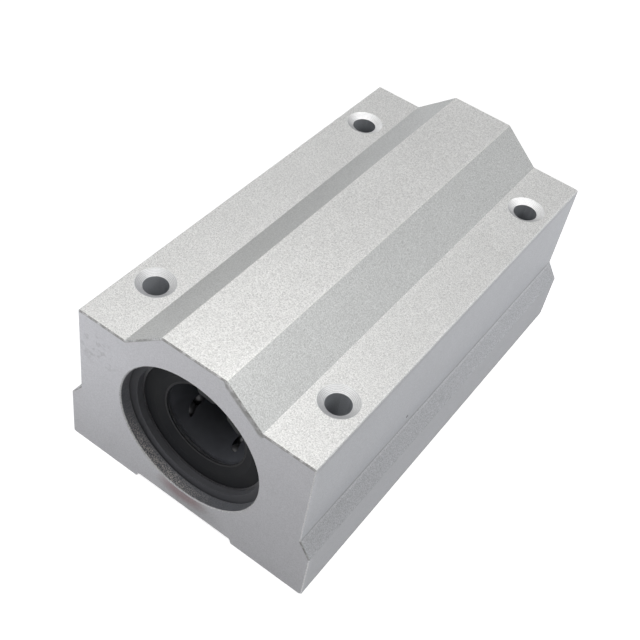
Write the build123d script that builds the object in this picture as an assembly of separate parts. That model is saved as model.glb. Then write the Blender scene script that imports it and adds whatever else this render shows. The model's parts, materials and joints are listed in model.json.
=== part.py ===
from build123d import *
from math import radians, sin, sqrt, tan
import os

os.makedirs("parts", exist_ok=True)

# A long linear bearing block: one extruded housing that holds two ball bearings end to end for
# one round shaft. All sizes are in millimetres. The shaft axis runs along Y, Z is up, and the
# origin is the middle of the underside. The front end is the one at -Y.

# Shaft and balls
shaft_diameter = 16.0
shaft_clearance = 0.02  # radial, of the balls and the seal lips
ball_diameter = 2.778
ball_play = 0.01  # radial, between a ball and the raceway
ball_gap = 0.2  # least mean gap between two balls of a circuit

# Ball circuits
circuit_count = 5
first_load_row_angle = -142.0  # degrees from +X towards +Z
return_lift = 0.7  # how much further out the balls travel back
pocket_clearance = 0.05  # beside a ball in the cage's pockets
track_clearance = 0.032  # around a ball in the rounded tracks

# Cage
cage_shaft_gap = 0.2  # radial, between the cage and the shaft
cage_floor = 0.4  # under the returning balls
cage_play = 0.05  # around the cage and at each end
cage_end_wall = 0.6

# Bearing sleeve
bearing_length = 37.0
sleeve_rim = 1.79  # wall around the seal's seat
seal_seat_step = 0.67
sleeve_chamfer = 0.5
sleeve_groove_span = 26.5  # over the outer edges of the two outer grooves
sleeve_groove_width = 1.6
sleeve_groove_depth = 0.5

# Seals and stop rings
seal_recess = 0.15
seal_thickness = 1.05
seal_flange_width = 2.3  # the flat part around the dish
lip_depth = 0.6  # from the seal's face to the lip
lip_rim = 0.3  # flat ring on top of the lip
lip_land = 0.25
lip_relief = 0.6
stop_ring_thickness = 0.7
stop_ring_width = 3.3
press_gap = 0.01  # radial, between a pressed ring and its seat

# Retaining rings
ring_depth = 2.3  # from the end face to the ring
ring_thickness = 1.2
ring_groove_depth = 0.7
ring_front_gap = 0.2  # in the groove, in front of the ring
ring_side_play = 0.05  # between the ring and the bearing
ring_seat_gap = 0.02
ring_width = 2.08  # at the middle of its arms
ring_eccentricity = 0.3
lug_length = 5.05
lug_end_angle = 27.0  # degrees from the middle of the gap
gap_half_angle = 7.0
lug_hole_diameter = 2.0
lug_round = 0.9
front_gap_angle = 66.0  # degrees from +X towards +Z
rear_gap_angle = 114.0

# Spacer ring between the two bearings
spacer_length = 3.8
spacer_width = 2.0
spacer_chamfer = 0.3

# Housing
bearing_fit_gap = 0.01  # radial, between a bearing and the bore
floor_wall = 5.0
roof_wall = 5.5
ridge_rise = 6.0
ridge_top_width = 12.0
shoulder_width = 9.6
side_step = 2.2
step_rise = 3.1
foot_side_height = 10.7
foot_width = 14.7
relief_depth = 1.0
relief_slope = 0.4
end_chamfer = 0.2
edge_round_margin = 0.2  # the long edges are rounded by this much more than the ends' chamfer
foot_round_margin = 0.4  # the same for the outer edges of the feet
bore_chamfer = 0.2

# Bolt holes, plain from the shoulders and threaded from the underside
bolt_wall = 1.85  # between the bore and a hole
bolt_end_distance = 12.5
hole_diameter = 4.3
thread_diameter = 5.0
thread_depth = 12.0
thread_chamfer = 0.3
countersink_diameter = 6.8
countersink_angle = 118.0

# Aids of the construction
overrun = 1.0  # how far a cut starts outside the metal
corner_reach = 0.05  # how near a corner lies to the line or circle that it is picked by

# Radii of the ball tracks
ball_radius = ball_diameter / 2
contact_radius = shaft_diameter / 2 + shaft_clearance
load_row_radius = contact_radius + ball_radius
return_row_radius = load_row_radius + return_lift
raceway_radius = load_row_radius + ball_radius + ball_play
pocket_half_width = ball_radius + pocket_clearance
track_radius = ball_radius + track_clearance
relief_radius = return_row_radius + track_radius
row_half_angle = 360 / circuit_count / 4
turn_radius = load_row_radius * sin(radians(row_half_angle))

# Radii and lengths of the bearing
seat_radius = relief_radius + seal_seat_step
rim_radius = seat_radius - press_gap
sleeve_radius = seat_radius + sleeve_rim
seat_depth = seal_recess + seal_thickness + stop_ring_thickness
cage_inner_radius = shaft_diameter / 2 + cage_shaft_gap
cage_floor_radius = cage_inner_radius + cage_floor
cage_outer_radius = raceway_radius - cage_play
cage_length = bearing_length - 2 * (seat_depth + cage_play)
row_half_length = cage_length / 2 - cage_end_wall - pocket_half_width - turn_radius

# The housing around the bearings
bore_radius = sleeve_radius + bearing_fit_gap
ring_groove_radius = bore_radius + ring_groove_depth
ring_radius = ring_groove_radius - ring_seat_gap
bearing_depth = ring_depth + ring_thickness + ring_side_play
block_length = 2 * (bearing_depth + bearing_length + ring_side_play) + spacer_length
centre_height = floor_wall + bore_radius
ridge_height = centre_height + bore_radius + roof_wall
shoulder_height = ridge_height - ridge_rise
edge_round = end_chamfer + edge_round_margin
foot_round = end_chamfer + foot_round_margin
hole_radius = hole_diameter / 2
thread_radius = thread_diameter / 2
bolt_x = bore_radius + bolt_wall + hole_radius
bolt_y = block_length / 2 - bolt_end_distance
ridge_foot_half_width = bolt_x - shoulder_width / 2
waist_half_width = bolt_x + shoulder_width / 2
foot_half_width = waist_half_width + side_step

# Round pieces are made about Z, and this frame lays Z along the shaft with +Z at the front end
axis_frame = Plane(origin=(0, 0, centre_height), x_dir=(1, 0, 0), z_dir=(0, -1, 0))
bearing_offset = (spacer_length + bearing_length) / 2 + ring_side_play

# The middles of the straight ball rows in a circuit that faces +X
load_row = Vector(sqrt(load_row_radius**2 - turn_radius**2), -turn_radius, 0)
return_row = Vector(sqrt(return_row_radius**2 - turn_radius**2), turn_radius, 0)


def turned(points):
    # a solid of revolution about Z, from (radius, height) points
    return revolve(Plane.XZ * Polygon(*points, align=None), Axis.Z)


def both_ends(points):
    # a profile from the middle to one end, followed by its mirror image
    return points + [(radius, -height) for radius, height in reversed(points)]


def block_outline():
    right_half = Polygon(
        (0, relief_depth),
        (foot_half_width - foot_width - relief_slope, relief_depth),
        (foot_half_width - foot_width, 0),
        (foot_half_width, 0),
        (foot_half_width, foot_side_height),
        (waist_half_width, foot_side_height + step_rise),
        (waist_half_width, shoulder_height),
        (ridge_foot_half_width, shoulder_height),
        (ridge_top_width / 2, ridge_height),
        (0, ridge_height),
        align=None,
    )
    outline = right_half + mirror(right_half, Plane.YZ)
    outline = fillet(outline.vertices().filter_by(is_foot_corner), foot_round)
    return fillet(outline.vertices().filter_by(is_top_corner), edge_round)


def is_foot_corner(corner):
    return corner.Y < corner_reach and abs(corner.X) > bolt_x


def is_top_corner(corner):
    at_ridge_foot = abs(abs(corner.X) - ridge_foot_half_width) < corner_reach
    return corner.Y > shoulder_height - corner_reach and not at_ridge_foot


def bore():
    # the void of the bore, with its two ring grooves and its chamfered mouths
    end = block_length / 2
    return turned(
        both_ends(
            [
                (bore_radius, end - bearing_depth),
                (ring_groove_radius, end - bearing_depth),
                (ring_groove_radius, end - ring_depth + ring_front_gap),
                (bore_radius, end - ring_depth + ring_front_gap),
                (bore_radius, end - bore_chamfer),
                (bore_radius + bore_chamfer + overrun, end + overrun),
                (0, end + overrun),
            ]
        )
    )


def bolt_hole():
    # the void of one hole: countersunk from the shoulder, then plain, then as wide as its thread
    countersink_radius = countersink_diameter / 2
    flare = tan(radians(countersink_angle / 2))
    return turned(
        [
            (0, shoulder_height + overrun),
            (countersink_radius + overrun * flare, shoulder_height + overrun),
            (hole_radius, shoulder_height - (countersink_radius - hole_radius) / flare),
            (hole_radius, thread_depth + thread_radius - hole_radius),
            (thread_radius, thread_depth),
            (thread_radius, thread_chamfer),
            (thread_radius + thread_chamfer + overrun, -overrun),
            (0, -overrun),
        ]
    )


def housing():
    block = extrude(Plane.XZ * block_outline(), block_length / 2, both=True)
    ends = block.faces().filter_by(Axis.Y)
    block = chamfer([edge for end in ends for edge in end.outer_wire().edges()], end_chamfer)
    block -= axis_frame * bore()
    return block - [corner * bolt_hole() for corner in GridLocations(2 * bolt_x, 2 * bolt_y, 2, 2)]


def pie_slice(half_angle):
    # a flat slice about +X that reaches past the retaining ring
    edge = Rot(0, 0, half_angle) * Pos(2 * ring_radius, 0)
    x, y = edge.position.X, edge.position.Y
    return Polygon((0, 0), (x, -y), (2 * ring_radius, 0), (x, y), align=None)


def retaining_ring(gap_angle):
    # an open flat ring with a drilled lug on each side of its gap, which faces +X until it is turned
    tip_radius = ring_radius - lug_length
    disc = Circle(ring_radius)
    band = disc - Pos(ring_eccentricity, 0) * Circle(ring_radius - ring_width)
    lugs = (disc - Circle(tip_radius)) & pie_slice(lug_end_angle)
    ring = band + lugs - pie_slice(gap_half_angle)
    tips = ring.vertices().filter_by(lambda corner: Vector(corner).length < tip_radius + corner_reach)
    ring = fillet(tips, lug_round)
    for side in (-1, 1):
        hole_angle = side * (gap_half_angle + lug_end_angle) / 2
        ring -= Rot(0, 0, hole_angle) * Pos(tip_radius + lug_length / 2, 0) * Circle(lug_hole_diameter / 2)
    return extrude(Rot(0, 0, gap_angle) * ring, ring_thickness)


def spacer_ring():
    return turned(
        both_ends(
            [
                (sleeve_radius, spacer_length / 2 - spacer_chamfer),
                (sleeve_radius - spacer_chamfer, spacer_length / 2),
                (sleeve_radius - spacer_width, spacer_length / 2),
            ]
        )
    )


def circuit_places():
    # the turns about the shaft axis that take a circuit from +X to its place
    first = first_load_row_angle + row_half_angle
    return [Rot(0, 0, first + 360 * index / circuit_count) for index in range(circuit_count)]


def sleeve():
    # a hardened tube with two outer grooves, relieved inside where the balls turn and travel back
    end = bearing_length / 2
    groove_end = sleeve_groove_span / 2
    groove_start = groove_end - sleeve_groove_width
    tube = turned(
        both_ends(
            [
                (sleeve_radius, groove_start),
                (sleeve_radius - sleeve_groove_depth, groove_start),
                (sleeve_radius - sleeve_groove_depth, groove_end),
                (sleeve_radius, groove_end),
                (sleeve_radius, end - sleeve_chamfer),
                (sleeve_radius - sleeve_chamfer, end),
                (seat_radius, end),
                (seat_radius, end - seat_depth),
                (relief_radius, end - seat_depth),
                (relief_radius, row_half_length),
                (raceway_radius, row_half_length),
            ]
        )
    )
    relief = Pos(return_row) * Cylinder(track_radius, 2 * row_half_length)
    return tube - [place * relief for place in circuit_places()]


def quarter_turn(row, end):
    # the path from the end of a straight row to the crest of the turn at that end, 1 or -1
    centre = Vector(return_row_radius, 0, end * row_half_length)
    reach = Vector(row.X, row.Y, centre.Z) - centre
    frame = Plane(origin=centre, x_dir=reach, z_dir=reach.cross(Vector(0, 0, end)))
    return frame * EllipticalCenterArc((0, 0), reach.length, turn_radius, arc_size=90)


def row_line(row):
    along = Vector(0, 0, row_half_length)
    return Line(row - along, row + along)


def pocket_cuts():
    # the cuts for one circuit that faces +X, open to the shaft only under the load row
    track = SlotCenterToCenter(2 * row_half_length, 2 * (turn_radius + pocket_half_width))
    track -= SlotCenterToCenter(2 * row_half_length, 2 * (turn_radius - pocket_half_width))
    face = Plane(origin=(0, 0, 0), x_dir=(0, 0, 1), z_dir=(1, 0, 0))
    racetrack = extrude(face * track, sleeve_radius) - Cylinder(cage_floor_radius, cage_length)
    row = Pos(load_row) * Cylinder(track_radius, 2 * row_half_length)
    return [racetrack, row, rise_cut(1), rise_cut(-1)]


def rise_cut(end):
    # where the balls climb out of the load row
    rise = quarter_turn(load_row, end)
    return sweep(Plane(origin=rise @ 0, z_dir=rise % 0) * Circle(track_radius), path=rise)


def cage():
    # a moulded tube with one racetrack pocket for each circuit
    tube = Cylinder(cage_outer_radius, cage_length) - Cylinder(cage_inner_radius, cage_length)
    for cut in pocket_cuts():
        tube -= [place * cut for place in circuit_places()]
    return tube


def balls():
    # the balls of one circuit that faces +X, evenly spaced along its path
    turns = [quarter_turn(row, end) for row in (load_row, return_row) for end in (-1, 1)]
    path = Wire([row_line(load_row), row_line(return_row), *turns])
    count = int(path.length / (ball_diameter + ball_gap))
    step = path.length / count
    places = [path.position_at(index * step, PositionMode.LENGTH) for index in range(count)]
    return Compound([Pos(place) * Sphere(ball_radius) for place in places])


def seal():
    # a rubber ring with a dished face and one lip, in the +Z end of a sleeve
    face = bearing_length / 2 - seal_recess
    back = face - seal_thickness
    flange_radius = rim_radius - seal_flange_width
    lip = face - lip_depth
    return turned(
        [
            (rim_radius, back),
            (rim_radius, face),
            (flange_radius, face),
            (contact_radius + lip_rim, lip),
            (contact_radius, lip),
            (contact_radius, lip - lip_land),
            (contact_radius + lip_relief, back),
        ]
    )


def stop_ring():
    # the washer that keeps the cage in, behind the seal in the +Z end of a sleeve
    back = bearing_length / 2 - seat_depth
    front = back + stop_ring_thickness
    inner_radius = rim_radius - stop_ring_width
    return turned([(rim_radius, back), (rim_radius, front), (inner_radius, front), (inner_radius, back)])


def bearing(name, outer_end):
    # the pieces of one bearing about its own middle, with outer_end 1 where it faces +Z
    pieces = {f"{name}_bearing_sleeve": sleeve(), f"{name}_bearing_cage": cage()}
    for side, end in (("outer", outer_end), ("inner", -outer_end)):
        turn_over = Rot(0, 0, 0) if end == 1 else Rot(180, 0, 0)
        pieces[f"{name}_{side}_seal"] = turn_over * seal()
        pieces[f"{name}_{side}_stop_ring"] = turn_over * stop_ring()
    circuit = balls()
    for number, place in enumerate(circuit_places(), start=1):
        pieces[f"{name}_ball_circuit_{number}"] = place * circuit
    return pieces


def write(name, piece):
    export_step(piece, f"parts/{name}.step")


ring_height = block_length / 2 - ring_depth - ring_thickness
write("housing", housing())
write("spacer_ring", axis_frame * spacer_ring())
write("front_retaining_ring", axis_frame * Pos(0, 0, ring_height) * retaining_ring(front_gap_angle))
write(
    "rear_retaining_ring",
    axis_frame * Pos(0, 0, -ring_height - ring_thickness) * retaining_ring(rear_gap_angle),
)
for name, outer_end in (("front", 1), ("rear", -1)):
    place = axis_frame * Pos(0, 0, outer_end * bearing_offset)
    for piece_name, piece in bearing(name, outer_end).items():
        write(piece_name, place * piece)
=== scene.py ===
import json
from math import radians, tau

import bmesh
import bpy
from mathutils import Matrix, Vector


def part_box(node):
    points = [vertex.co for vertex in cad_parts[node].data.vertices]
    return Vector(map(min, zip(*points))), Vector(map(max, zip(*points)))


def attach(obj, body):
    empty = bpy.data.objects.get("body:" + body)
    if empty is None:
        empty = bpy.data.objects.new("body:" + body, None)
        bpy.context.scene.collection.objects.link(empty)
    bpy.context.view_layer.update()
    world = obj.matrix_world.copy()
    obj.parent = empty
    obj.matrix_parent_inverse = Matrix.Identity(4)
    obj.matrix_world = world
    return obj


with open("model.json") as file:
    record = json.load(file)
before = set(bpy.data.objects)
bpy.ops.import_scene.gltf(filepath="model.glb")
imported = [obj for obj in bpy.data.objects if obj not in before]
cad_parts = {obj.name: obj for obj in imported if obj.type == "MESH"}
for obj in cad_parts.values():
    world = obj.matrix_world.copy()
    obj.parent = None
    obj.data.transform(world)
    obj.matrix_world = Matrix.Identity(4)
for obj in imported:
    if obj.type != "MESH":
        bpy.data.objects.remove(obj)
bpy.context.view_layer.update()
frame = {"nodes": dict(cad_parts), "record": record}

# A long linear bearing block: a blasted aluminium housing, two retaining rings and two ball
# bearings with rubber seals. Lengths are in metres, the shaft axis runs along Y and Z is up.
mm = 0.001
nodes = frame["nodes"]
mounts = {mount["name"]: mount for mount in frame["record"]["mounts"]}

bearingGap = 0.01 * mm  # between a bearing and the bore of the housing
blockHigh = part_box("housing")[1]
blockEnd = blockHigh.y
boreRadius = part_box("front_bearing_sleeve")[1].x + bearingGap
shaftAxis = Vector(mounts["shaft_bore"]["pos_m"])
threadHoles = mounts["base_threads"]["dims"]
boltX = threadHoles["spacing_x_mm"] * mm / 2
boltY = threadHoles["spacing_y_mm"] * mm / 2
threadRadius = threadHoles["hole_r_mm"] * mm
holeRadius = mounts["shoulder_holes"]["dims"]["hole_r_mm"] * mm
holeTop = mounts["shoulder_holes"]["pos_m"][2]  # where the plain wall begins, under the countersink
ridgeHalfWidth = 6 * mm
ridgeFoot = 13.2 * mm
shoulderTop = 32.5 * mm
slopeHeight = 6 * mm
slopeFacing = Vector((slopeHeight, 0, ridgeFoot - ridgeHalfWidth)).normalized()  # on the right
slopeReach = slopeFacing.dot((ridgeHalfWidth, 0, blockHigh.z))


# Shader nodes

def emptyTree(owner):
    owner.use_nodes = True
    owner.node_tree.nodes.clear()
    return owner.node_tree


def addNode(tree, kind, sockets=None, **settings):
    # one node with its settings, whose sockets take values or the outputs of other nodes
    node = tree.nodes.new("ShaderNode" + kind)
    for name, value in settings.items():
        setattr(node, name, value)
    for key, value in (sockets or {}).items():
        if isinstance(value, bpy.types.NodeSocket):
            tree.links.new(value, node.inputs[key])
        else:
            node.inputs[key].default_value = value
    return node


def calc(tree, operation, *values):
    return addNode(tree, "Math", dict(enumerate(values)), operation=operation).outputs[0]


def splitUp(tree, vector):
    return addNode(tree, "SeparateXYZ", {0: vector}).outputs


def fade(tree, value, zeroAt, oneAt):
    # 0 up to one value and 1 from another one on
    sockets = {"Value": value, "From Min": zeroAt, "From Max": oneAt}
    return addNode(tree, "MapRange", sockets, clamp=True).outputs[0]


def mixColours(tree, share, first, second):
    sockets = {0: share, 6: first, 7: second}
    return addNode(tree, "Mix", sockets, data_type="RGBA").outputs[2]


def mixValues(tree, share, first, second):
    return addNode(tree, "Mix", {0: share, 2: first, 3: second}, data_type="FLOAT").outputs[0]


def shade(tree, colour, factor):
    # a colour made lighter or darker by a factor
    grey = addNode(tree, "CombineXYZ", {0: factor, 1: factor, 2: factor}).outputs[0]
    sockets = {0: 1.0, 6: colour, 7: grey}
    return addNode(tree, "Mix", sockets, data_type="RGBA", blend_type="MULTIPLY").outputs[2]


def grain(tree, place, size, layers, roughness=0.5):
    # soft spots about as wide as the size, from 0 to 1, with layers of finer ones over them
    sockets = {"Vector": place, "Scale": 1 / size, "Detail": layers, "Roughness": roughness}
    return addNode(tree, "TexNoise", sockets).outputs["Fac"]


def both(tree, *masks):
    # where all the masks hold
    share = masks[0]
    for mask in masks[1:]:
        share = calc(tree, "MULTIPLY", share, mask)
    return share


def within(tree, value, limits):
    # a pair of limits gives one fade, three give a band with the blur on both its sides
    if len(limits) == 2:
        return fade(tree, value, *limits)
    low, high, blur = limits
    return both(tree, fade(tree, value, low - blur, low), fade(tree, value, high + blur, high))


def centred(tree, value, amount):
    # spots from 0 to 1, as a change to both sides of nought
    return calc(tree, "MULTIPLY", calc(tree, "SUBTRACT", value, 0.5), amount)


def distance(tree, first, second):
    # the length of a vector with two parts
    firstSquare = calc(tree, "MULTIPLY", first, first)
    secondSquare = calc(tree, "MULTIPLY", second, second)
    return calc(tree, "SQRT", calc(tree, "ADD", firstSquare, secondSquare))


def fromShaftAxis(tree, x, z):
    return distance(tree, x, calc(tree, "SUBTRACT", z, shaftAxis.z))


def bumps(tree, height, depth, onto=None):
    sockets = {"Height": height, "Distance": depth, "Strength": 1.0}
    if onto is not None:
        sockets["Normal"] = onto
    return addNode(tree, "Bump", sockets).outputs[0]


def startMaterial(name):
    # a material with one shader, and where a point of the piece lies
    material = bpy.data.materials.new(name)
    tree = emptyTree(material)
    shader = addNode(tree, "BsdfPrincipled")
    addNode(tree, "OutputMaterial", {"Surface": shader.outputs[0]})
    place = addNode(tree, "TexCoord").outputs["Object"]
    return material, tree, shader, place


def connect(tree, shader, **values):
    # sets the shader's sockets, named here without their spaces
    sockets = {socket.name.replace(" ", ""): socket for socket in shader.inputs}
    for name, value in values.items():
        if isinstance(value, bpy.types.NodeSocket):
            tree.links.new(value, sockets[name])
        else:
            sockets[name].default_value = value


# Finish of the housing

housingFinish = {
    "blasted": (0.81, 0.81, 0.80, 1),  # the outside of the extrusion
    "slope": (0.572, 0.58, 0.576, 1),  # the ridge's slopes, darker than the tops: painted shade
    "edge": (0.83, 0.83, 0.81, 1),  # the long edges of the ridge, lighter: a painted highlight
    "side": (0.507, 0.517, 0.545, 1),  # the smoother upright faces
    # the foot of the sides, a darker copy of the side colour: painted shade
    "foot": (0.385, 0.391, 0.415, 1),
    "step": (0.422, 0.428, 0.446, 1),  # the slanted strip between them
    "seamDark": (0.36, 0.365, 0.383, 1),  # the two lines where the strip ends at its top: painted shade above it and a painted highlight on it
    "seamLight": (0.478, 0.484, 0.50, 1),
    "end": (0.550, 0.551, 0.580, 1),  # the milled ends
    "mouth": (0.54, 0.54, 0.55, 1),  # the bright edge of the bore
    "endEdge": (0.80, 0.80, 0.82, 1),  # the edges around the ends
    "burr": (0.27, 0.268, 0.265, 1),  # painted shade of the burr along the upper edges of the ends
    # the bore's wall, darker than the ends: painted shade
    "bore": (0.185, 0.190, 0.207, 1),
    "speckle": (0.66, 0.61, 0.58, 1),  # a speckled painted highlight low in the mouth of the bore
    "stain": (0.35, 0.255, 0.272, 1),
    "countersinkNear": (0.46, 0.465, 0.48, 1),  # the part towards the front end, darker: painted shade
    # the far part, lighter: painted light
    "countersinkFar": (0.71, 0.715, 0.72, 1),
    "shine": (0.90, 0.90, 0.90, 1),  # a painted highlight on the far part of the rear countersinks
    "hole": (0.37, 0.385, 0.41, 1),
    # the pit's painted shade
    "pit": (0.06, 0.06, 0.06, 1),
    "metal": 0.2,
    "shineMetal": 0.45,
    "rough": 0.5,
    "endRough": 0.42,
    "roughContrast": 0.15,
    "fineGrain": (0.21 * mm, 2.0, 0.6),  # width of the spots, finer layers and their strength
    "coarseGrain": (0.63 * mm, 1.0),
    "clouds": (9 * mm, 3.0),
    "raggedGrain": (0.9 * mm, 3.0),
    "smudgeGrain": (1.1 * mm, 3.0),
    "raggedCut": (0.30, 0.55),  # a cut keeps the spots above its first value
    "burrCut": (-0.8, 1.0),  # its first value lets some of the burr stay between the spots
    "smudgeCut": (0.52, 0.62),
    "speckleCut": (0.45, 0.65),
    "grainContrast": 1.35,
    "cloudContrast": 0.10,
    "endContrast": 0.25,  # painted light: the ends lighter towards the top, by this much between the foot and the top
    "smoothShare": 0.35,  # of the grain that the sides, ends and holes keep
    "grainDepth": 0.03 * mm,
    "toolPitch": 0.22 * mm,
    "toolDepth": 0.010 * mm,
    "burrTop": 0.1 * mm,  # how far the burr's painted shade lies under the outline
    "burrWidth": 0.28 * mm,
    "wideBurrWidth": 1.0 * mm,  # on the ridge's right-hand slope
    "burrRim": (1.0, 0.6),  # parts of its width between which it fades
    "speckleLean": 0.5,  # how much less high the speckle reaches further right
}

# how much lighter or darker the colour is in its faint bands and marks, painted highlights and shade among
# them
housingTones = {
    "worn": 0.02,  # painted highlight along the foot and the top edges of the ridge
    "corner": 0.09,  # on the sides, next to the ends
    "brink": -0.10,  # at the top of the sides
    # painted shade low on the front end, under the bore
    "dull": -0.17,
    "smudge": -0.20,
    "turns": 0.16,  # the rings that the tool left in the countersinks
}

# oval marks on the front end: the middle and the half sizes, across and up, and the part of them
# that doesn't fade
frontSpots = {
    "stain": {"middle": (-0.3 * mm, 4.3 * mm), "reach": (6.0 * mm, 2.4 * mm), "whole": 0.4},
    # painted shade low on the front end, under the bore
    "dull": {"middle": (1.2 * mm, 3.2 * mm), "reach": (8.0 * mm, 4.2 * mm), "whole": 0.4},
    "smudge": {"middle": (-18.8 * mm, 25.8 * mm), "reach": (5.5 * mm, 5.0 * mm), "whole": 0.4},
}

# the painted shade of the pit on the right-hand side, along and up
sidePit = {"middle": (-12.64 * mm, 16.27 * mm), "reach": (0.34 * mm, 0.34 * mm), "whole": 0.8}

# the coats of the housing, each over the ones before it
coatOrder = (
    "slope", "side", "foot", "seamDark", "step", "seamLight", "edge", "end", "stain", "pit",
    "endEdge", "burr", "bore", "speckle", "mouth", "countersink", "shine", "hole",
)

# Which way the kinds of surface face, as limits of one part of their direction. A pair runs from
# where a kind is absent to where it is whole, three values are a band and its blur.
facingLimits = {
    "up": (0.95, 0.98),
    "partlyUp": (0.2, 0.4),
    "outward": (0.96, 0.98),
    "toEnd": (0.9, 0.95),
    "toFront": (-0.9, -0.95),
    "toRight": (0.9, 0.95),
    "aroundAxis": (0.2, 0.1),
    "endEdge": (0.3, 0.9, 0.05),
    "slope": (0.72, 0.82, 0.04),
    "step": (0.78, 0.86, 0.03),
    "edge": (0.15, 0.55, 0.08),
    "countersink": (0.2, 0.94, 0.03),
}

# Where the kinds of surface lie, in the same way.
placeLimits = {
    "outside": (22 * mm, 22.5 * mm),  # across the block
    "slope": (13.6 * mm, 13.4 * mm),
    "wideBurr": (ridgeHalfWidth, ridgeFoot, 0.4 * mm),
    "besideRidge": (ridgeFoot, ridgeFoot + 1.0 * mm, 0.4 * mm),
    "ridgeRim": (5.5 * mm, 6.2 * mm, 0.3 * mm),
    "foot": (11.5 * mm, 11 * mm),  # up
    "seamLight": (13.35 * mm, 13.5 * mm),
    "seamDark": (13.85 * mm, 14.1 * mm, 0.3 * mm),
    "brink": (shoulderTop - 1.7 * mm, shoulderTop - 0.9 * mm),
    "overShoulder": (shoulderTop - mm, shoulderTop),
    "edge": (37.6 * mm, 37.9 * mm),
    "ridgeTop": (38 * mm, 38.2 * mm),
    "underCountersink": (holeTop + 0.02 * mm, holeTop),
    "highOnEnd": (3 * mm, 27 * mm),
    "endEdge": (blockEnd - 0.30 * mm, blockEnd - 0.22 * mm),  # along the block
    "corner": (blockEnd - 1.3 * mm, blockEnd - 0.5 * mm),
    "grooves": (blockEnd - mm, blockEnd - 1.1 * mm),
    "beforeGroove": (2.1 * mm - blockEnd, 1.2 * mm - blockEnd),
    "rearHalf": (-mm, mm),
    "farSide": (-2.6 * mm, 1.0 * mm),  # along the block, past the middle of a hole
    "countersink": (3.5 * mm, 3.45 * mm),  # away from the middle of a hole
    "hole": (holeRadius + 0.10 * mm, holeRadius + 0.02 * mm),
    "bore": (14.9 * mm, 14.8 * mm),  # away from the shaft axis
    "mouth": (boreRadius + 0.30 * mm, boreRadius + 0.25 * mm),
    "lowLeft": (8.5 * mm, 2.5 * mm),  # up, at the middle of the mouth
}


def spotMask(tree, across, up, spot):
    # 1 inside an oval spot, fading out to its rim
    sideways = calc(tree, "SUBTRACT", across, spot["middle"][0])
    upwards = calc(tree, "SUBTRACT", up, spot["middle"][1])
    sidewaysPart = calc(tree, "DIVIDE", sideways, spot["reach"][0])
    upwardsPart = calc(tree, "DIVIDE", upwards, spot["reach"][1])
    return fade(tree, distance(tree, sidewaysPart, upwardsPart), 1.0, spot["whole"])


def depthUnderTop(tree, across, z):
    # how far a point of an end lies under the outline of the shoulders, slopes and ridge
    alongSlope = calc(tree, "MULTIPLY", across, slopeFacing.x)
    upSlope = calc(tree, "MULTIPLY", z, slopeFacing.z)
    underSlope = calc(tree, "SUBTRACT", slopeReach, calc(tree, "ADD", alongSlope, upSlope))
    underRidge = calc(tree, "MINIMUM", calc(tree, "SUBTRACT", blockHigh.z, z), underSlope)
    return calc(tree, "MAXIMUM", calc(tree, "SUBTRACT", shoulderTop, z), underRidge)


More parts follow.
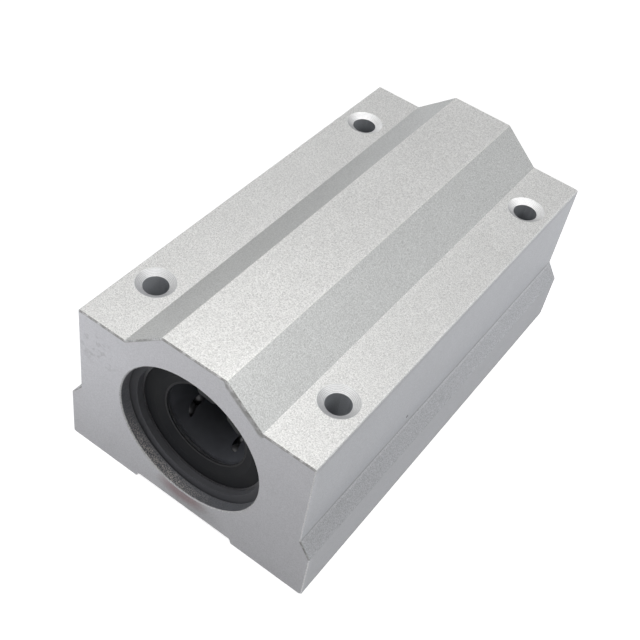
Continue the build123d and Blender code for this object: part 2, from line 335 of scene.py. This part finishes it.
def housingMasks(tree, place, look):
    # where each kind of surface of the housing lies, each from 0 to 1
    x, y, z = splitUp(tree, place)
    facingX, facingY, facingZ = splitUp(tree, addNode(tree, "NewGeometry").outputs["True Normal"])
    across = calc(tree, "ABSOLUTE", x)
    along = calc(tree, "ABSOLUTE", y)
    outwards = calc(tree, "ABSOLUTE", facingX)
    endwards = calc(tree, "ABSOLUTE", facingY)
    fromAxis = fromShaftAxis(tree, x, z)
    boltSide = calc(tree, "MULTIPLY", calc(tree, "SIGN", y), boltY)
    pastBolt = calc(tree, "SUBTRACT", y, boltSide)
    fromBolt = distance(tree, calc(tree, "SUBTRACT", across, boltX), pastBolt)

    def facing(kind, part):
        return within(tree, part, facingLimits[kind])

    def lying(kind, measure):
        return within(tree, measure, placeLimits[kind])

    leaning = facing("endEdge", endwards)
    outside = lying("outside", across)
    side = both(tree, facing("outward", outwards), outside)
    nearBore = lying("bore", fromAxis)
    inBore = both(tree, nearBore, facing("aroundAxis", endwards))
    inGrooves = both(tree, nearBore, lying("grooves", along))
    onFront = facing("toFront", facingY)
    masks = {
        "slope": both(tree, facing("slope", facingZ), lying("slope", across), lying("overShoulder", z)),
        "side": side,
        "foot": both(tree, side, lying("foot", z)),
        "seamDark": both(tree, side, lying("seamDark", z)),
        "brink": both(tree, side, lying("brink", z)),
        "corner": both(tree, side, lying("corner", along)),
        "step": both(tree, facing("step", outwards), outside),
        "edge": both(tree, facing("edge", outwards), lying("edge", z)),
        "end": facing("toEnd", endwards),
        "highOnEnd": lying("highOnEnd", z),
        "endEdge": both(tree, lying("endEdge", along), leaning),
        "mouth": both(tree, lying("mouth", fromAxis), leaning),
        "bore": calc(tree, "MAXIMUM", inBore, inGrooves),
        "hole": both(tree, lying("hole", fromBolt), lying("underCountersink", z)),
        "countersink": both(tree, lying("countersink", fromBolt), facing("countersink", facingZ)),
        "farSide": lying("farSide", pastBolt),
        "pit": both(tree, facing("toRight", facingX), spotMask(tree, y, z, sidePit)),
    }
    masks["seamLight"] = both(tree, masks["step"], lying("seamLight", z))
    # a painted highlight on the far part of the rear countersinks
    masks["shine"] = both(tree, masks["countersink"], masks["farSide"], lying("rearHalf", y))
    for name, spot in frontSpots.items():
        masks[name] = both(tree, onFront, spotMask(tree, x, z, spot))

    # painted highlights: lighter bands along the foot and the top edges of the ridge
    onRidge = both(tree, lying("ridgeTop", z), lying("ridgeRim", across))
    bands = calc(tree, "MAXIMUM", lying("besideRidge", across), onRidge)
    masks["worn"] = both(tree, facing("up", facingZ), bands)

    # the painted shade of the burr on and under the upper edges of the ends, wide on the front's right-hand
    # slope
    wide = both(tree, onFront, lying("wideBurr", x))
    width = mixValues(tree, wide, look["burrWidth"], look["wideBurrWidth"])
    depth = calc(tree, "SUBTRACT", depthUnderTop(tree, across, z), look["burrTop"])
    underEdge = both(tree, masks["end"], fade(tree, calc(tree, "DIVIDE", depth, width), *look["burrRim"]))
    onEdge = both(tree, masks["endEdge"], facing("partlyUp", facingZ))
    masks["burr"] = calc(tree, "MAXIMUM", onEdge, underEdge)

    # a speckled painted highlight on the lower left wall of the mouth
    height = calc(tree, "ADD", calc(tree, "MULTIPLY", x, look["speckleLean"]), z)
    masks["speckle"] = both(tree, inBore, lying("lowLeft", height), lying("beforeGroove", y))
    return masks, fromBolt


def housingMaterial(look):
    material, tree, shader, place = startMaterial("blastedAluminium")
    masks, fromBolt = housingMasks(tree, place, look)

    # the blasted grain, broad clouds in the anodising, ragged edges and the tool's turns
    fine = grain(tree, place, *look["fineGrain"])
    coarse = grain(tree, place, *look["coarseGrain"])
    clouds = grain(tree, place, *look["clouds"])
    ragged = fade(tree, grain(tree, place, *look["raggedGrain"]), *look["raggedCut"])
    smudges = fade(tree, grain(tree, place, *look["smudgeGrain"]), *look["smudgeCut"])
    turns = calc(tree, "SINE", calc(tree, "MULTIPLY", fromBolt, tau / look["toolPitch"]))
    masks["burr"] = both(tree, masks["burr"], fade(tree, ragged, *look["burrCut"]))
    masks["speckle"] = both(tree, masks["speckle"], fade(tree, fine, *look["speckleCut"]))
    masks["smudge"] = both(tree, masks["smudge"], smudges)
    masks["turns"] = both(tree, masks["countersink"], turns)

    # painted shade on the near part of each countersink, painted light on its far part
    cone = mixColours(tree, masks["farSide"], look["countersinkNear"], look["countersinkFar"])
    coats = dict(look, countersink=cone)
    colour = look["blasted"]
    for name in coatOrder:
        colour = mixColours(tree, masks[name], colour, coats[name])

    smooth = masks["side"]
    for name in ("end", "countersink", "hole"):
        smooth = calc(tree, "MAXIMUM", smooth, masks[name])
    grainShare = mixValues(tree, smooth, 1.0, look["smoothShare"])
    contrast = calc(tree, "MULTIPLY", grainShare, look["grainContrast"])
    changes = [
        centred(tree, fine, contrast),
        centred(tree, clouds, look["cloudContrast"]),
        # painted light: the ends lighter towards the top
        both(tree, masks["end"], centred(tree, masks["highOnEnd"], look["endContrast"])),
    ]
    changes += [calc(tree, "MULTIPLY", masks[name], tone) for name, tone in housingTones.items()]
    factor = 1.0
    for change in changes:
        factor = calc(tree, "ADD", factor, change)
    colour = shade(tree, colour, factor)

    rough = mixValues(tree, masks["end"], look["rough"], look["endRough"])
    rough = calc(tree, "ADD", rough, centred(tree, coarse, look["roughContrast"]))
    metal = mixValues(tree, masks["shine"], look["metal"], look["shineMetal"])
    normal = bumps(tree, calc(tree, "MULTIPLY", fine, grainShare), look["grainDepth"])
    normal = bumps(tree, masks["turns"], look["toolDepth"], onto=normal)
    connect(tree, shader, BaseColor=colour, Roughness=rough, Metallic=metal, Normal=normal)
    return material


# Finishes of the small pieces

steelFinish = {
    "ring": {
        "colour": (0.150, 0.153, 0.167, 1), "metal": 0.0, "rough": 0.6, "grain": 0.12 * mm, "specular": 0.2,
        # the inner part of the ring, dark: painted shade
        "inner": (0.010, 0.011, 0.013, 1), "innerRadius": 10.8 * mm,
    },
    "sleeve": {"colour": (0.16, 0.16, 0.17, 1), "metal": 0.5, "rough": 0.5, "grain": 0.10 * mm},
    "stopRing": {"colour": (0.42, 0.43, 0.45, 1), "metal": 1.0, "rough": 0.35, "grain": 0.12 * mm},
    "balls": {"colour": (0.12, 0.12, 0.125, 1), "metal": 0.7, "rough": 0.5, "grain": 0.30 * mm},
    "spacer": {"colour": (0.70, 0.70, 0.71, 1), "metal": 0.8, "rough": 0.40, "grain": 0.15 * mm},
}

# what all the steel pieces have in common
steelMarks = {
    "layers": 3.0,
    "spotSize": 12,  # times the grain
    "spotLayers": 4.0,
    "spotShare": 0.5,
    "tones": (-1.5, 1.2),  # the grain from black to the full colour
    "depth": 0.004 * mm,
    "innerBlur": 0.04 * mm,
    "specular": 0.5,
    "roughContrast": 0.5,  # times the roughness
}


def steelMaterial(name, look, marks):
    # metal with fine marks that run round the shaft axis
    material, tree, shader, place = startMaterial(name)
    x, y, z = splitUp(tree, place)
    radius = fromShaftAxis(tree, x, z)
    turned = addNode(tree, "CombineXYZ", {0: radius, 1: y}).outputs[0]
    lines = grain(tree, turned, look["grain"], marks["layers"])
    spots = grain(tree, place, look["grain"] * marks["spotSize"], marks["spotLayers"])
    factor = fade(tree, mixValues(tree, marks["spotShare"], lines, spots), *marks["tones"])
    colour = look["colour"]
    # painted shade on the inner part of a piece
    if "inner" in look:
        inside = fade(tree, radius, look["innerRadius"], look["innerRadius"] - marks["innerBlur"])
        colour = mixColours(tree, inside, colour, look["inner"])
    roughContrast = look["rough"] * marks["roughContrast"]
    rough = calc(tree, "ADD", look["rough"], centred(tree, spots, roughContrast))
    connect(
        tree, shader, BaseColor=shade(tree, colour, factor), Roughness=rough, Metallic=look["metal"],
        SpecularIORLevel=look.get("specular", marks["specular"]), Normal=bumps(tree, lines, marks["depth"]),
    )
    return material


mouldedFinish = {
    "seal": {
        "colour": (0.0075, 0.0082, 0.0105, 1), "rough": 0.7, "grain": 0.18 * mm, "depth": 0.006 * mm,
        # the lip, lighter: a painted highlight
        "lip": (0.05, 0.05, 0.053, 1), "lipRadius": 8.35 * mm,
    },
    "cage": {
        "colour": (0.165, 0.172, 0.195, 1), "rough": 0.6, "grain": 0.25 * mm, "depth": 0.004 * mm,
    },
}

# what both moulded pieces have in common
mouldedMarks = {
    "layers": 2.0,
    "bloomSize": 20,  # times the grain
    "bloomLayers": 3.0,
    "tones": (-0.6, 0.9),  # the bloom from black to the full colour
    "roughContrast": 0.2,
    "lipBlur": 0.05 * mm,
    "specular": 0.2,
}


def mouldedMaterial(name, look, marks):
    # rubber or plastic from a mould, with a fine matt skin
    material, tree, shader, place = startMaterial(name)
    skin = grain(tree, place, look["grain"], marks["layers"])
    bloom = grain(tree, place, look["grain"] * marks["bloomSize"], marks["bloomLayers"])
    factor = fade(tree, bloom, *marks["tones"])
    colour = look["colour"]
    # a painted highlight on the lip
    if "lip" in look:
        x, y, z = splitUp(tree, place)
        worn = fade(tree, fromShaftAxis(tree, x, z), look["lipRadius"] + marks["lipBlur"], look["lipRadius"])
        colour = mixColours(tree, worn, colour, look["lip"])
    rough = calc(tree, "ADD", look["rough"], centred(tree, bloom, marks["roughContrast"]))
    connect(
        tree, shader, BaseColor=shade(tree, colour, factor), Roughness=rough,
        SpecularIORLevel=marks["specular"], Normal=bumps(tree, skin, look["depth"]),
    )
    return material


def paint(piece, material):
    piece.data.materials.clear()
    piece.data.materials.append(material)


housingMetal = housingMaterial(housingFinish)
steels = {name: steelMaterial(name + "Steel", look, steelMarks) for name, look in steelFinish.items()}
moulded = {
    name: mouldedMaterial(name + "Moulding", look, mouldedMarks) for name, look in mouldedFinish.items()
}

finishes = {
    "housing": housingMetal,
    "retaining_ring": steels["ring"],
    "spacer": steels["spacer"],
    "sleeve": steels["sleeve"],
    "cage": moulded["cage"],
    "seal": moulded["seal"],
    "stop_ring": steels["stopRing"],
    "balls": steels["balls"],
}
for subpart in frame["record"]["subparts"]:
    paint(nodes[subpart["node"]], finishes[subpart["material_slot"]])
print("finishes are on", len(nodes), "nodes")


# Threads in the underside

threadTurn = {
    "pitch": 0.8 * mm,
    "crestHalfWidth": 0.148 * mm,
    "rootHalfWidth": 0.35 * mm,
    "seat": 0.02 * mm,  # how far the turns reach into the wall
    "start": 0.3 * mm,
    "end": 12 * mm,
    "steps": 36,  # in each turn
}


def addObject(name, data):
    # an object of the scene, at the origin as long as nothing moves it
    holder = bpy.data.objects.new(name, data)
    bpy.context.scene.collection.objects.link(holder)
    return holder


def newPiece(name, mesh, material):
    # a finished piece of the block
    data = bpy.data.meshes.new(name)
    bmesh.ops.recalc_face_normals(mesh, faces=mesh.faces)
    mesh.to_mesh(data)
    mesh.free()
    piece = addObject(name, data)
    piece.data.materials.append(material)
    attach(piece, "root")


def threadPiece(name, x, y, look):
    # the ridge of an inner thread, as one helix that is cut level at both ends
    mesh = bmesh.new()
    wall = threadRadius + look["seat"]
    below = look["start"] - look["pitch"]
    corners = [
        (wall, -look["rootHalfWidth"]),
        (holeRadius, -look["crestHalfWidth"]),
        (holeRadius, look["crestHalfWidth"]),
        (wall, look["rootHalfWidth"]),
    ]
    profile = [mesh.verts.new((radius, 0, below + height)) for radius, height in corners]
    edges = [mesh.edges.new((profile[index - 1], profile[index])) for index in range(len(profile))]
    turns = round((look["end"] - below) / look["pitch"]) + 1
    bmesh.ops.spin(
        mesh, geom=profile + edges, cent=(0, 0, 0), axis=(0, 0, 1),
        dvec=(0, 0, look["pitch"] / look["steps"]), angle=tau * turns, steps=look["steps"] * turns,
    )
    for height, upwards in ((look["start"], -1), (look["end"], 1)):
        everything = mesh.verts[:] + mesh.edges[:] + mesh.faces[:]
        bmesh.ops.bisect_plane(
            mesh, geom=everything, plane_co=(0, 0, height), plane_no=(0, 0, upwards), clear_outer=True,
        )
    rims = [edge for edge in mesh.edges if edge.is_boundary]
    bmesh.ops.holes_fill(mesh, edges=rims, sides=0)
    bmesh.ops.translate(mesh, verts=mesh.verts, vec=(x, y, 0))
    newPiece(name, mesh, housingMetal)


for end, y in (("front", -boltY), ("rear", boltY)):
    for side, x in (("left", -boltX), ("right", boltX)):
        threadPiece(f"{end}_{side}_thread", x, y, threadTurn)
print("threads are cut")


# Studio

studio = {
    "floorSize": 3.0,
    "floorColour": (0.70, 0.70, 0.70, 1),
    "floorGlow": 0.80,  # of the floor as the camera and reflections see it, near the block
    "floorGlowFar": 1.0,
    "floorReach": (0.15, 0.9),  # the glow grows from the first distance to the second
    "worldColour": (0.97, 0.98, 1.0, 1),
    "worldLight": 0.02,
    "seenColour": (1, 1, 1, 1),  # of the background
    "seenLight": 1.0,
}

# discs, with their places and sizes in metres and their power in watts
lamps = {
    "ceiling": {"place": (0.0, 0.0, 0.60), "size": 0.40, "power": 0.926, "colour": (1.0, 1.0, 1.0)},
    "high": {"place": (0.40, 0.05, 0.42), "size": 0.30, "power": 0.795, "colour": (1.0, 1.0, 1.0)},
    "key": {"place": (0.01, -0.06, 0.085), "size": 0.04, "power": 0.0148, "colour": (1.0, 0.99, 0.97)},
    "front": {"place": (-0.05, -0.078, 0.034), "size": 0.03, "power": 0.0093, "colour": (0.97, 0.98, 1.0)},
    "right": {"place": (0.15, 0.12, 0.04), "size": 0.08, "power": 0.0400, "colour": (0.95, 0.97, 1.0)},
    "rear": {"place": (-0.12, 0.13, 0.055), "size": 0.05, "power": 0.0158, "colour": (0.95, 0.97, 1.0)},
}

shot = {
    "azimuth": 27.68,  # degrees from the shaft axis, towards +X
    "elevation": 46.15,
    "roll": 11.16,
    "distance": 193.5 * mm,
    "aim": (0, 0, 18 * mm),
    "slide": (-3.83 * mm, -3.21 * mm),  # of the camera, in its own frame
    "lens": 60.28,
    "nearest": 10 * mm,
}


def seenRays(tree):
    # 1 for the rays that show the background: of the camera, of reflections and through glass
    path = addNode(tree, "LightPath")
    seen = calc(tree, "ADD", path.outputs["Is Camera Ray"], path.outputs["Is Glossy Ray"])
    return calc(tree, "MINIMUM", calc(tree, "ADD", seen, path.outputs["Is Transmission Ray"]), 1.0)


def makeFloor(look):
    mesh = bmesh.new()
    bmesh.ops.create_grid(mesh, x_segments=1, y_segments=1, size=look["floorSize"] / 2)
    data = bpy.data.meshes.new("floor")
    mesh.to_mesh(data)
    mesh.free()
    floor = addObject("floor", data)
    material = bpy.data.materials.new("paleFloor")
    tree = emptyTree(material)
    matt = addNode(tree, "BsdfDiffuse", {"Color": look["floorColour"]})
    x, y, z = splitUp(tree, addNode(tree, "TexCoord").outputs["Object"])
    away = fade(tree, distance(tree, x, y), *look["floorReach"])
    strength = mixValues(tree, away, look["floorGlow"], look["floorGlowFar"])
    glow = addNode(tree, "Emission", {"Strength": both(tree, seenRays(tree), strength)})
    lit = addNode(tree, "AddShader", {0: matt.outputs[0], 1: glow.outputs[0]})
    addNode(tree, "OutputMaterial", {"Surface": lit.outputs[0]})
    floor.data.materials.append(material)


def makeWorld(look):
    world = bpy.data.worlds.new("studio")
    tree = emptyTree(world)
    seen = seenRays(tree)
    colour = mixColours(tree, seen, look["worldColour"], look["seenColour"])
    strength = mixValues(tree, seen, look["worldLight"], look["seenLight"])
    light = addNode(tree, "Background", {"Color": colour, "Strength": strength})
    addNode(tree, "OutputWorld", {"Surface": light.outputs[0]})
    bpy.context.scene.world = world


def makeLamp(name, look):
    lamp = bpy.data.lights.new(name, "AREA")
    lamp.shape = "DISK"
    lamp.size = look["size"]
    lamp.energy = look["power"]
    lamp.color = look["colour"]
    holder = addObject(name, lamp)
    holder.location = look["place"]
    holder.visible_camera = False
    away = Vector(look["place"]) - Vector(shot["aim"])
    holder.rotation_euler = away.to_track_quat("Z", "Y").to_euler()


def makeCamera(look):
    data = bpy.data.cameras.new("camera")
    data.lens = look["lens"]
    data.clip_start = look["nearest"]
    camera = addObject("camera", data)
    turn = (
        Matrix.Rotation(radians(look["azimuth"]), 4, "Z")
        @ Matrix.Rotation(radians(90 - look["elevation"]), 4, "X")
        @ Matrix.Rotation(radians(look["roll"]), 4, "Z")
    )
    back = Vector((*look["slide"], look["distance"]))
    camera.matrix_world = Matrix.Translation(Vector(look["aim"]) + turn @ back) @ turn
    bpy.context.scene.camera = camera


makeFloor(studio)
makeWorld(studio)
for name, look in lamps.items():
    makeLamp(name, look)
makeCamera(shot)
bpy.context.scene.view_settings.view_transform = "Standard"
print("the studio is lit")
